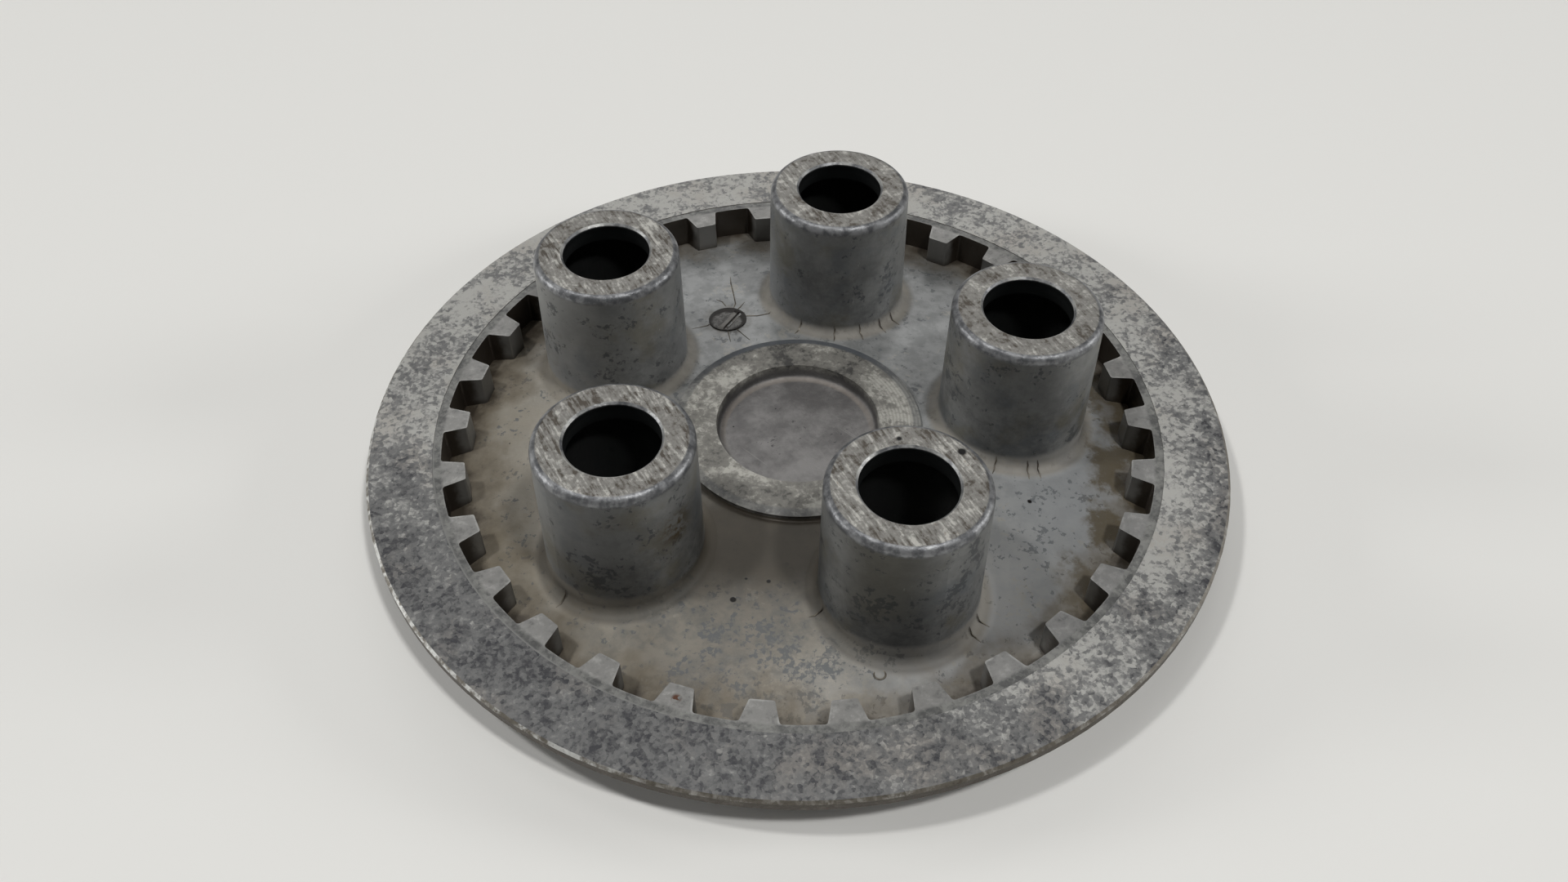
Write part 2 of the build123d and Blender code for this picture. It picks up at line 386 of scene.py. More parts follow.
def web_crust(pen, grain, colour):
    """Grey crust in flecks, thick at the front and right front, with pale flecks among it."""
    crowd = pen.plus(pen.patches(0.005, 2.0, 0.5), pen.near(*FRONT_CRUST, 0.009, 0.013), 0.62)
    crowd = pen.plus(crowd, pen.near(*RIGHT_CRUST, 0.006, 0.010), 0.30)
    crust = pen.step(pen.plus(crowd, grain, 2.6), 0.58, 0.70)
    colour = pen.lay(colour, crust, 0.8, tone(93, 96, 98))
    pale = pen.add(pen.speckle(CAST_GRAIN, 0.6), pen.patches(0.009, 2.0, 0.7))
    colour = pen.lay(colour, pen.step(pale, 0.3, 0.42), 0.45, tone(156, 152, 142))
    flaked = pen.step(pen.speckle(FINE_GRAIN, 0.9), 0.06, 0.16)
    flaked = pen.times(flaked, pen.near(*FLAKED_METAL, 0.006, 0.009))
    return pen.lay(colour, flaked, 0.5, tone(166, 160, 148)), crust


def web_grime(pen, grain, tower, colour):
    """Brown grime round the towers' feet and out toward the teeth, with painted shade at the front
    towers' feet, a painted shadow in front of the pad and painted shade in the pad's front corner.
    """
    streaks = pen.step(pen.patches(0.006, 2.0, 0.1), -0.35, 0.3)
    streaks = pen.mix(streaks, tone(108, 103, 94), tone(122, 116, 104))
    # Grime round the towers' feet, with painted shade that makes it dark at the front towers'
    # feet.
    foot_grime_and_front_shade = pen.mix(pen.step(pen.toward(235), 0.30, 0.48), streaks, tone(70, 67, 60))
    foot = pen.between(tower, TOWER_FOOT_R - 0.00035, TOWER_FOOT_R + 0.00175, 0.0007)
    colour = pen.lay(colour, foot, 0.7, foot_grime_and_front_shade)

    # Painted shadow of the front towers on the web in front of the pad.
    middle_x, middle_y = PAD_SHADE
    shade = pen.length(
        pen.times(pen.add(pen.x, -middle_x), 0.68), pen.add(pen.y, -middle_y)
    )
    shade = pen.step(pen.add(shade, pen.patches(0.004, 0.003, 0.1)), 0.0135, 0.0060)
    colour = pen.lay(colour, shade, 0.9, tone(68, 62, 52))
    # Painted shade in the corner at the pad's front foot.
    corner = pen.add(pen.radius, pen.patches(0.003, 0.0008, 0.3))
    corner = pen.between(corner, PAD_R - 0.0004, PAD_R + 0.0009, 0.0003)
    corner = pen.times(corner, pen.step(pen.toward(258), 0.0, 0.2))
    colour = pen.lay(colour, corner, 0.75, tone(52, 45, 35))

    outward = pen.add(pen.radius, pen.patches(0.008, 0.020, 0.4))
    outward = pen.add(outward, pen.times(pen.toward(200), 0.0012))
    smudge = pen.step(outward, 0.0450, 0.0520)
    colour = pen.lay(colour, smudge, 0.6, tone(100, 89, 70))
    oily = pen.times(
        pen.step(pen.toward(345), 0.55, 0.72), pen.step(pen.patches(0.005, 2.4, 0.2), -0.3, 0.1)
    )
    oily = pen.times(oily, pen.step(pen.plus(outward, grain, 0.004), 0.0460, 0.0490))
    colour = pen.lay(colour, oily, 0.8, tone(92, 82, 62))
    dirt = pen.step(outward, 0.0505, 0.0555)
    colour = pen.lay(colour, dirt, 0.9, tone(52, 44, 34))
    return colour, shade, dirt


def cast_web(pen, tower):
    """Colour, dullness and pits of the cast web, the same on each region that it crosses."""
    grain = pen.speckle(CAST_GRAIN)
    colour, crust = web_crust(pen, grain, web_greys(pen, grain))
    colour, shade, dirt = web_grime(pen, grain, tower, colour)
    pits = pen.either(pen.pits(150, 0.0003, 0.14), pen.pits(330, 0.00016, 0.10, 0.4))
    for spot_x, spot_y, size in WEB_SPOTS:
        pits = pen.either(pits, pen.near(spot_x, spot_y, size, 0.0001))
    colour = pen.mix(pits, colour, tone(26, 24, 22))
    foot = pen.step(tower, TOWER_FOOT_R + 0.00275, TOWER_FOOT_R + 0.00145)
    dull = pen.either(pen.times(crust, 0.5), dirt)
    dull = pen.either(dull, pen.either(foot, pen.times(shade, 0.9)))
    return colour, dull, pits


def rim_side(pen, speckle):
    """The brown side of the rim, rusty at the front left, lighter where it turns up with painted
    light, and bright along its top toward the left, partly wear and partly a painted highlight.
    """
    level = pen.add(pen.patches(0.003, 1.4), pen.times(speckle, 0.8))
    # Painted light: lighter where the side turns up.
    level = pen.add(level, pen.times(pen.up, 0.8))
    side = pen.three_tones(level, tone(64, 57, 48), tone(98, 93, 84), tone(146, 144, 138))
    rust = pen.step(pen.patches(0.0035, 2.0, 0.8), 0.32, 0.42)
    rust = pen.times(rust, pen.step(pen.toward(240), 0.5, 0.8))
    side = pen.lay(side, rust, 0.6, tone(96, 52, 42))
    # Bright top edge toward the left: partly wear, partly a painted highlight.
    edge = pen.times(pen.between(pen.up, 0.5, 0.9, 0.1), pen.step(pen.toward(200), 0.55, 0.85))
    worn = pen.step(pen.patches(0.002, 2.4, 0.3), -0.15, 0.2)
    return pen.lay(side, edge, worn, tone(190, 190, 186))


def friction_face_finish():
    """Machined face under fine grey oxide, darker on the outer right and to the front left, where
    the darkening is partly its own tone and partly a painted dark reflection.
    """
    pen = Finish("friction_face_oxide")
    width = OUTER_R - FACE_INNER_R
    outward = pen.plus(-FACE_INNER_R / width, pen.radius, 1 / width)
    # Darker to the front left: partly the oxide's tone, partly a painted dark reflection.
    front = pen.step(pen.toward(236), 0.1, 0.95)
    burnt = pen.times(pen.step(outward, 0.1, 1.0), pen.step(pen.toward(350), 0.7, 0.98))
    level = pen.plus(0.85, front, -0.50)
    level = pen.plus(level, burnt, -0.34)
    level = pen.plus(level, pen.patches(0.009, 1.6, 0.1), pen.plus(1.0, front, -0.6))
    level = pen.plus(level, pen.step(pen.toward(310), 0.78, 1.0), -0.16)
    level = pen.plus(level, pen.step(pen.toward(90), 0.75, 1.0), -0.12)
    speckle = pen.speckle(OXIDE_GRAIN)
    level = pen.plus(level, speckle, pen.run(front, 1.4, 1.05))
    face = pen.three_tones(level, tone(67, 67, 70), tone(113, 113, 112), tone(168, 167, 162))
    warmth = pen.step(pen.patches(0.011, 2.2, 0.45), -0.05, 0.3)
    warmth = pen.times(warmth, pen.step(speckle, -0.2, 0.2))
    face = pen.lay(face, warmth, 0.35, tone(150, 142, 132))
    pale = pen.step(level, 0.2, 0.9)
    return pen.finish(
        pen.mix(pen.step(pen.up, 0.93, 0.985), rim_side(pen, speckle), face),
        metallic=pen.run(pale, 0.4, 0.15),
        roughness=pen.run(pale, 0.42, 0.6),
        height=speckle,
        depth=OXIDE_DEPTH,
    )


def tooth_tops(pen):
    """Light tooth tops with a painted glint along their edges, darker at the right, one rusty."""
    level = pen.add(pen.patches(0.0018, 1.4, 0.4), pen.times(pen.speckle(FINE_GRAIN), 0.6))
    teeth = pen.three_tones(
        pen.add(level, 0.5), tone(94, 94, 92), tone(132, 131, 128), tone(160, 159, 155)
    )
    # Painted glint along the tooth edges.
    painted_edge_glint = pen.step(pen.tooth_edge(), 0.0004, 0.00012)
    painted_edge_glint = pen.times(painted_edge_glint, pen.step(pen.patches(0.002, 2.0, 0.9), -0.1, 0.3))
    teeth = pen.lay(teeth, painted_edge_glint, 0.6, tone(172, 172, 168))
    teeth = pen.lay(teeth, pen.step(pen.toward(322), 0.6, 0.8), 0.25, tone(88, 89, 91))
    rust = pen.near(*RUSTY_TOOTH, 0.0006, 0.0003)
    return pen.lay(teeth, rust, pen.step(pen.grains(FINE_GRAIN), 0.3, 0.5), tone(84, 52, 34))


def band_top(pen):
    """The smooth band outside the teeth, with a painted highlight on its lip toward the left."""
    level = pen.add(pen.patches(0.003, 1.6, 0.4), pen.times(pen.speckle(FINE_GRAIN), 0.9))
    band = pen.mix(pen.step(level, -0.4, 0.4), tone(78, 78, 77), tone(128, 128, 124))
    # Painted highlight on the lip toward the left.
    lip = pen.step(pen.radius, FACE_INNER_R - 0.0004, FACE_INNER_R - 0.0001)
    return pen.lay(band, lip, pen.step(pen.toward(212), 0.5, 0.9), tone(128, 128, 125))


def ring_finish():
    """Smooth band, light tooth tops with painted glints along their edges, tooth walls darker
    toward the root and the bottom, a brown floor.
    """
    pen = Finish("spline_ring_casting")
    web, dull, pits = cast_web(pen, pen.tower_axis())
    root = pen.step(pen.add(pen.radius, pen.patches(0.002, 0.002, 0.6)), 0.0520, 0.0536)
    walls = pen.mix(root, tone(92, 91, 88), tone(38, 32, 25))
    low = pen.step(pen.z, WEB_EDGE_Z + 0.0020, WEB_EDGE_Z + 0.0004)
    walls = pen.lay(walls, low, 0.7, tone(40, 33, 25))
    steep = pen.times(pen.step(pen.up, 0.6, 0.4), pen.step(pen.z, 0.0, WEB_EDGE_Z))
    colour = pen.mix(steep, web, walls)
    band = pen.step(pen.radius, TOOTH_ROOT_R - 0.0003, TOOTH_ROOT_R + 0.0003)
    top = pen.times(
        pen.step(pen.up, 0.9, 0.97), pen.step(pen.z, FACE_Z - 0.0006, FACE_Z - 0.0002)
    )
    colour = pen.mix(top, colour, pen.mix(band, tooth_tops(pen), band_top(pen)))
    under = pen.step(pen.z, WEB_EDGE_Z - 0.0002, WEB_EDGE_Z - 0.0006)
    return pen.finish(
        pen.mix(under, colour, tone(120, 119, 116)),
        metallic=pen.run(dull, 0.3, 0.1),
        roughness=pen.run(pen.either(dull, top), 0.32, 0.5),
        height=pen.cast_skin(pits),
        depth=CAST_SKIN_DEPTH,
    )


def web_finish():
    """Semi-gloss as-cast web with oxide patches, foot stains, dirt near the teeth and pits, with
    painted sheen toward the right and left, painted shade at the front towers' feet and a painted
    shadow in front of the pad.
    """
    pen = Finish("web_casting")
    colour, dull, pits = cast_web(pen, pen.tower_axis())
    stained = pen.near(*STAMP_PLACE, STAMP_R + 0.0009, 0.0012)
    stained = pen.times(stained, pen.step(pen.patches(0.002, 2.0, 0.3), -0.3, 0.3))
    return pen.finish(
        pen.lay(colour, stained, 0.6, tone(70, 61, 46)),
        metallic=pen.run(dull, 0.28, 0.06),
        roughness=pen.run(dull, 0.28, 0.52),
        height=pen.cast_skin(pits),
        depth=CAST_SKIN_DEPTH,
    )


def pad_oxide(pen, speckle):
    """The turned ring of the pad: mottled oxide, turning lines at the right, a grey bevel."""
    sides = pen.step(pen.math("ABSOLUTE", pen.toward(15)), 0.08, 0.26)
    level = pen.add(pen.plus(0.57, sides, 0.19), pen.patches(0.0055, 2.6, 0.6))
    level = pen.plus(level, pen.step(pen.toward(85), 0.1, 0.25), -0.2)
    level = pen.plus(level, speckle, 0.85)
    oxide = pen.three_tones(level, tone(66, 65, 63), tone(118, 116, 110), tone(172, 170, 162))
    turning = pen.step(pen.math("SINE", pen.times(pen.radius, TURNING_LINES)), -0.6, 0.9)
    turning = pen.times(turning, pen.step(pen.toward(0), 0.12, 0.25))
    oxide = pen.lay(oxide, turning, 0.3, tone(92, 92, 90))
    bevel = pen.step(pen.radius, PAD_BEVEL_R - 0.0002, PAD_BEVEL_R + 0.0004)
    darker_behind = pen.run(pen.step(pen.toward(85), 0.08, 0.25), 0.45, 0.9)
    return pen.lay(oxide, bevel, darker_behind, tone(72, 76, 81))


def recess_floor(pen, speckle, bank):
    """The smooth grey recess: clouds, scratches, dark flecks, a painted highlight on its bank at
    the back and painted shade in its corner.
    """
    clouds = pen.add(pen.patches(0.005, 2.2, 0.5), pen.times(speckle, 0.5))
    clouds = pen.add(clouds, pen.toward(285))
    floor = pen.mix(pen.step(clouds, -0.5, 0.5), tone(99, 97, 96), tone(134, 132, 130))
    long_scratch = pen.noise(1500, 2, 0.5, stretch=(40, 1, 1), turn=math.radians(24))
    short_scratch = pen.noise(1300, 2, 0.5, stretch=(30, 1, 1), turn=math.radians(-50), shift=0.2)
    scratch = pen.either(
        pen.step(long_scratch, 0.68, 0.72), pen.step(short_scratch, 0.70, 0.74)
    )
    floor = pen.lay(floor, scratch, 0.4, tone(150, 148, 145))
    flecks = pen.step(pen.add(speckle, pen.patches(0.005, 2.0, 0.9)), 0.42, 0.5)
    floor = pen.mix(flecks, floor, tone(78, 76, 76))
    # Painted highlight on the back of the bank.
    lit_bank = pen.times(bank, pen.step(pen.toward(90), -0.1, 0.08))
    floor = pen.lay(floor, lit_bank, 0.5, tone(134, 125, 115))
    # Painted shade in the recess's corner.
    corner = pen.step(pen.radius, RECESS_R - 0.0006, RECESS_R - 0.0003)
    return pen.lay(floor, corner, 0.7, tone(62, 60, 59))


def pad_finish():
    """Turned pad ring under mottled oxide, and its smooth grey recess with pits and scratches."""
    pen = Finish("thrust_pad_face")
    web, dull, pits = cast_web(pen, pen.tower_axis())
    speckle = pen.speckle(FINE_GRAIN, 0.2)
    ring = pen.between(pen.radius, RECESS_R - 0.0002, PAD_R, 0.0001)
    recess = pen.step(pen.radius, RECESS_R, RECESS_R - 0.0002)
    bank = pen.between(pen.radius, RECESS_R - 0.0014, RECESS_R - 0.0006, 0.0002)
    colour = pen.mix(ring, web, pad_oxide(pen, speckle))
    colour = pen.mix(recess, colour, recess_floor(pen, speckle, bank))
    dark_pits = pen.either(pits, pen.pits(300, 0.0002, 0.12, 0.3))
    return pen.finish(
        pen.mix(dark_pits, colour, tone(36, 34, 33)),
        metallic=pen.run(ring, 0.3, 0.15),
        roughness=pen.run(pen.either(ring, bank), 0.38, 0.55),
        height=pen.add(speckle, pen.times(pits, -1.0)),
        depth=WORN_METAL_DEPTH,
    )


def wall_greys(pen, grain):
    """The towers' drafted walls: cloudy grey, with painted light that makes them paler up high, at
    the left and low at the back, and painted shade low on the front towers.
    """
    clouds = pen.add(pen.patches(0.0045, 1.8, 0.1), pen.times(grain, 0.5))
    walls = pen.mix(pen.step(clouds, -0.5, 0.5), tone(92, 93, 93), tone(134, 135, 133))
    # Painted light: paler up high.
    painted_light_high = pen.step(pen.add(pen.z, pen.patches(0.006, 0.02, 0.2)), 0.012, 0.024)
    walls = pen.lay(walls, painted_light_high, 0.4, tone(142, 143, 141))
    # Painted light: paler on the walls toward the left.
    left = pen.step(pen.toward(180), 0.34, 0.6)
    walls = pen.lay(walls, left, 0.6, tone(160, 160, 157))
    # Painted light: paler low on the back towers.
    painted_light_low_back = pen.times(pen.step(pen.toward(110), 0.2, 0.4), pen.step(pen.z, 0.019, 0.013))
    walls = pen.lay(walls, painted_light_low_back, 0.5, tone(152, 154, 156))
    # Painted shade: darker low on the front towers.
    painted_shade_low_front = pen.step(pen.add(pen.z, pen.patches(0.006, 0.006, 0.5)), 0.018, 0.008)
    painted_shade_low_front = pen.times(painted_shade_low_front, pen.step(pen.toward(255), 0.15, 0.3))
    return pen.lay(walls, painted_shade_low_front, 0.2, tone(58, 61, 64))


def wall_marks(pen, grain, walls):
    """Blue clouds of painted sky reflection, olive clouds, dark flecks, the olive stain and pale
    nicks on the walls.
    """
    # Painted reflection of the sky in blue clouds.
    painted_blue_reflection = pen.step(pen.patches(0.008, 2.2, 0.75), 0.0, 0.4)
    walls = pen.lay(walls, painted_blue_reflection, 0.4, tone(98, 105, 112))
    olive = pen.step(pen.patches(0.009, 2.2, 0.35), 0.0, 0.4)
    cloud = pen.times(pen.near(*OLIVE_CLOUD, 0.0045, 0.0035), pen.step(pen.z, 0.011, 0.016))
    walls = pen.lay(walls, pen.either(olive, cloud), 0.45, tone(110, 104, 84))
    crowd = pen.patches(0.005, 2.4, 0.6)
    for fleck_x, fleck_y, fleck_z, tall in WALL_FLECKS:
        here = pen.near(fleck_x, fleck_y, 0.0030, 0.0030)
        here = pen.times(here, pen.between(pen.z, fleck_z - tall, fleck_z + tall, 0.0015))
        crowd = pen.plus(crowd, here, 0.42)
    flecks = pen.step(pen.plus(crowd, pen.speckle(CAST_GRAIN, 0.5), 1.5), 0.34, 0.50)
    walls = pen.lay(walls, flecks, 0.65, tone(62, 65, 69))
    stain_x, stain_y, stain_z = OLIVE_STAIN
    stain = pen.near(stain_x, stain_y, 0.0022, 0.0022)
    stain = pen.times(stain, pen.between(pen.z, stain_z - 0.0028, stain_z + 0.0022, 0.0015))
    ragged = pen.step(pen.add(grain, pen.patches(0.002, 1.6, 0.8)), -0.3, 0.1)
    walls = pen.lay(walls, stain, ragged, tone(78, 65, 40))
    nicks = pen.step(pen.noise(2200, 2, 0.5, stretch=(1, 1, 5), shift=0.7), 0.74, 0.77)
    return pen.lay(walls, nicks, 0.5, tone(170, 170, 166))


def painted_front_wall_shade(pen, walls):
    """Painted shade on the walls that face the front, thicker on the towers of the right front."""
    painted_shade_share = pen.run(pen.step(pen.toward(290), -0.1, 0.15), 0.26, 0.44)
    return pen.lay(walls, painted_shade_share, pen.step(pen.facing(250), 0.72, 1.0), tone(22, 23, 24))


def file_marks(pen):
    """Two sets of crossing file strokes about 0, weaker in patches and toward the right."""
    strokes = pen.noise(1900, 3, 0.6, stretch=(9, 1, 1), turn=math.radians(-66))
    cross = pen.noise(2300, 3, 0.6, stretch=(6, 1, 1), turn=math.radians(-76), shift=0.3)
    filed = pen.run(pen.step(pen.patches(0.006, 2.2, 0.15), -0.4, 0.3), 0.25, 1.0)
    filed = pen.times(filed, pen.run(pen.step(pen.toward(20), 0.15, 0.35), 1.0, 0.6))
    strokes = pen.times(pen.add(strokes, -0.5), 2.4)
    return pen.times(pen.add(strokes, pen.times(pen.add(cross, -0.5), 1.3)), filed)


def filed_tops(pen, files):
    """The towers' filed tops: three greys along the strokes, brown marks and two dark spots."""
    mottle = pen.add(pen.patches(0.004, 1.6, 0.3), pen.times(pen.speckle(FINE_GRAIN, 0.1), 0.9))
    level = pen.add(pen.add(files, mottle), 0.47)
    tops = pen.three_tones(level, tone(84, 78, 70), tone(136, 134, 129), tone(190, 188, 181))
    brown = pen.step(pen.add(pen.patches(0.0012, 1.8, 0.7), pen.times(files, 0.5)), 0.34, 0.5)
    tops = pen.lay(tops, brown, 0.5, tone(104, 80, 60))
    for spot_x, spot_y, size in TOP_SPOTS:
        tops = pen.mix(pen.near(spot_x, spot_y, size, 0.0002), tops, tone(22, 21, 20))
    return tops


def tower_finish():
    """Smooth drafted walls, a polished rounded edge and a filed top, on the same cast web, with a
    painted glint round the post hole and painted shade inside it.
    """
    pen = Finish("tower_casting")
    tower = pen.tower_axis()
    web, dull, pits = cast_web(pen, tower)
    flat = pen.times(
        pen.step(pen.up, 0.93, 0.985), pen.step(pen.z, TOWER_TOP_Z - 0.0003, TOWER_TOP_Z - 0.0001)
    )
    rounded = pen.step(pen.z, TOWER_EDGE_Z - 0.0004, TOWER_EDGE_Z + 0.0003)
    wall = pen.step(pen.z, WEB_CROWN_Z - 0.0002, WEB_CROWN_Z + 0.0012)
    grain = pen.speckle(CAST_GRAIN, 0.4)
    # Painted shade darkens the walls that face the front.
    walls = painted_front_wall_shade(pen, wall_marks(pen, grain, wall_greys(pen, grain)))
    files = file_marks(pen)
    dings = pen.step(pen.patches(0.0015, 2.4, 0.4), -0.3, 0.3)
    polished = pen.mix(dings, tone(88, 89, 91), tone(132, 133, 134))
    colour = pen.mix(wall, web, walls)
    colour = pen.mix(rounded, colour, polished)
    colour = pen.mix(flat, colour, filed_tops(pen, files))
    # Painted glint round the post hole's edge.
    rim = pen.step(tower, POST_HOLE_R + 0.0005, POST_HOLE_R + 0.00025)
    rim = pen.times(rim, pen.step(pen.patches(0.003, 2.0, 0.5), -0.2, 0.3))
    near_top = pen.step(pen.z, TOWER_TOP_Z - 0.0005, TOWER_TOP_Z - 0.0002)
    colour = pen.lay(colour, rim, near_top, tone(170, 170, 166))
    # Painted shade down inside the post hole.
    painted_shade_bore = pen.times(
        pen.step(tower, POST_HOLE_R + 0.0028, POST_HOLE_R + 0.0025),
        pen.step(pen.z, TOWER_TOP_Z - 0.0003, TOWER_TOP_Z - 0.0006),
    )
    rough_edge = pen.plus(pen.run(wall, 0.66, 0.45), rounded, -0.05)
    strokes = pen.times(files, pen.times(flat, 0.8))
    height = pen.add(strokes, pen.times(pen.noise(900, 4, 0.65), 0.6))
    return pen.finish(
        pen.mix(painted_shade_bore, colour, tone(25, 27, 27)),
        metallic=pen.plus(pen.run(wall, 0.06, 0.4), rounded, 0.1),
        roughness=pen.either(rough_edge, pen.times(flat, 0.55)),
        height=pen.add(height, pen.times(rounded, pen.patches(0.0016, 2.2, 0.4))),
        depth=WORN_METAL_DEPTH,
    )


def vein_finish():
    """Grey on the top of each raised line and dark brown down its sides: wear and grime, with a
    painted highlight on top and painted shade at its foot.
    """
    pen = Finish("vein_casting")
    # Lighter as the normal turns up: partly wear, partly a painted highlight; darker low: grime
    # and painted shade.
    worn = pen.step(pen.add(pen.patches(0.0012, 1.6), pen.times(pen.up, 0.5)), 0.15, 0.7)
    return pen.finish(
        pen.mix(worn, tone(58, 51, 42), tone(118, 112, 99)),
        metallic=0.15,
        roughness=pen.run(worn, 0.5, 0.38),
        height=pen.noise(2500, 3, 0.6),
        depth=0.00002,
    )


def plug_finish():
    """The stamp: mottled grey metal inside; a dark ring round its edge, grime with painted shade
    thicker at the back; a paler ridge, a painted highlight; a dark slot, grime with the ridge's
    painted shadow.
    """
    pen = Finish("stamp_casting")
    x, y = STAMP_PLACE
    clear_x, clear_y = STAMP_CLEAR_MIDDLE
    away = pen.length(pen.add(pen.x, -clear_x), pen.add(pen.y, -clear_y))
    # Dark ring round the stamp: grime and painted shade, thicker at the back.
    clear_middle = pen.step(pen.add(away, pen.patches(0.0009, 0.0009, 0.2)), 0.0027, 0.0022)
    across = pen.add(
        pen.times(pen.add(pen.x, -x), -math.sin(STAMP_SLANT)),
        pen.times(pen.add(pen.y, -y), math.cos(STAMP_SLANT)),
    )
    slot = pen.between(across, SLOT_LOW - 0.0001, RIDGE_LOW + 0.0001, 0.00012)
    ridge = pen.between(across, RIDGE_LOW + 0.0001, RIDGE_HIGH - 0.0001, 0.0002)
    mottle = pen.step(pen.speckle(0.0004), -0.15, 0.2)
    metal = pen.mix(mottle, tone(72, 70, 67), tone(112, 111, 108))
    # Painted highlight on the ridge.
    metal = pen.lay(metal, ridge, 0.6, tone(136, 133, 128))
    # Dark slot: grime and the ridge's painted shadow.
    metal = pen.lay(metal, slot, 0.85, tone(36, 32, 26))
    return pen.finish(
        pen.mix(clear_middle, tone(26, 22, 17), metal),
        metallic=0.25,
        roughness=0.45,
        height=pen.noise(1800, 4, 0.6),
        depth=CAST_SKIN_DEPTH,
    )


def dress_nodes():
    """Each region of the casting keeps its CAD shape and gets its own finish."""
    finishes = {
        "friction_flange": friction_face_finish(),
        "spline_ring": ring_finish(),
        "web_plate": web_finish(),
        "thrust_pad": pad_finish(),
    }
    tower = tower_finish()
    for name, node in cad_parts.items():
        node.data.materials.clear()
        node.data.materials.append(finishes.get(name, tower))


def web_centre_z():
    """Height of the centre of the sphere that the web's dome is part of."""
    drop = WEB_CROWN_Z - WEB_EDGE_Z
    return WEB_CROWN_Z - (TOOTH_ROOT_R**2 + drop**2) / (2 * drop)


def web_z(x, y):
    """Height of the domed web at a place on the plate, as the CAD part has it."""
    sphere_r = WEB_CROWN_Z - web_centre_z()
    return web_centre_z() + math.sqrt(sphere_r**2 - math.hypot(x, y)**2)


def start_piece(add, **settings):
    """A new primitive with nothing else selected, ready for edit mode."""
    bpy.ops.object.select_all(action="DESELECT")
    add(**settings)
    bpy.ops.object.transform_apply(location=True, rotation=True, scale=True)
    return bpy.context.object


def pick_faces(piece, wanted):
    """In edit mode, selects only the faces whose middle and normal pass a test."""
    bpy.ops.mesh.select_mode(type="FACE")
    bpy.ops.mesh.select_all(action="DESELECT")
    bpy.ops.object.mode_set(mode="OBJECT")
    for face in piece.data.polygons:
        face.select = wanted(face.center, face.normal)
    bpy.ops.object.mode_set(mode="EDIT")


def is_top(place, normal):
    """Whether a face looks up."""
    return normal.z > 0.9


def finish_piece(piece, name, material, smooth=40):
    """Names a piece, turns its faces outward, gives it its finish and fixes it to the plate."""
    bpy.ops.object.mode_set(mode="EDIT")
    bpy.ops.mesh.select_all(action="SELECT")
    bpy.ops.mesh.normals_make_consistent(inside=False)
    bpy.ops.object.mode_set(mode="OBJECT")
    bpy.ops.object.shade_smooth_by_angle(angle=math.radians(smooth))
    piece.name = name
    piece.data.name = name
    piece.data.materials.clear()
    piece.data.materials.append(material)
    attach(piece, "root")


def disc_on_web(place, radius, rise, depth):
    """A disc square to the domed web, its top this far above it."""
    x, y = place
    out = Vector((x, y, web_z(x, y) - web_centre_z())).normalized()
    middle = Vector((x, y, web_z(x, y))) + out * (rise - depth / 2)
    return start_piece(
        bpy.ops.mesh.primitive_cylinder_add, vertices=64, radius=radius, depth=depth,
        location=middle, rotation=out.to_track_quat("Z", "Y").to_euler(),
    )


def pocket_cover(material):
    """Closes the CAD part's stamp pocket, flush with the web, beside the real stamp's place."""
    piece = disc_on_web(POCKET_PLACE, POCKET_R + COVER_OVERLAP, COVER_RISE, COVER_THICKNESS)
    bpy.ops.object.mode_set(mode="EDIT")
    pick_faces(piece, is_top)
    bpy.ops.mesh.inset(thickness=COVER_RIM, depth=COVER_CROWN)
    finish_piece(piece, "pocket_cover", material, smooth=60)


def stamp_plug(material):
    """The round casting stamp: a worn rim, a slanting ridge across it and the slot beside it."""
    x, y = STAMP_PLACE
    across = Vector((-math.sin(STAMP_SLANT), math.cos(STAMP_SLANT), 0))
    centre = Vector((x, y, web_z(x, y) + STAMP_RISE))
    piece = disc_on_web(STAMP_PLACE, STAMP_R, STAMP_RISE, STAMP_THICKNESS)
    bpy.ops.object.mode_set(mode="EDIT")
    pick_faces(piece, is_top)
    bpy.ops.mesh.inset(thickness=STAMP_RIM, depth=-STAMP_DISH_DEPTH)
    for offset in (RIDGE_HIGH, RIDGE_LOW, SLOT_LOW):
        bpy.ops.mesh.select_all(action="SELECT")
        bpy.ops.mesh.bisect(plane_co=centre + across * offset, plane_no=across)

    def strip(low, high):
        def inside(place, normal):
            from_centre = place - centre
            in_middle = from_centre.length < STAMP_MIDDLE_R
            return is_top(place, normal) and in_middle and low < from_centre.dot(across) < high
        return inside

    def raise_strip(rise):
        bpy.ops.mesh.extrude_region_move(TRANSFORM_OT_translate={"value": (0, 0, rise)})

    pick_faces(piece, strip(RIDGE_LOW, RIDGE_HIGH))
    raise_strip(RIDGE_RISE)
    ridge_middle = centre + across * (RIDGE_LOW + RIDGE_HIGH) / 2
    bpy.ops.transform.resize(value=(0.86, 0.86, 1), center_override=ridge_middle)
    pick_faces(piece, strip(SLOT_LOW, RIDGE_LOW))
    raise_strip(-SLOT_DEPTH)
    bpy.ops.mesh.select_all(action="DESELECT")
    bpy.ops.object.mode_set(mode="OBJECT")
    rounding = piece.modifiers.new("worn_edges", "BEVEL")
    rounding.width = STAMP_WORN_EDGE
    rounding.segments = 2
    bpy.ops.object.modifier_apply(modifier=rounding.name)
    finish_piece(piece, "stamp_plug", material)


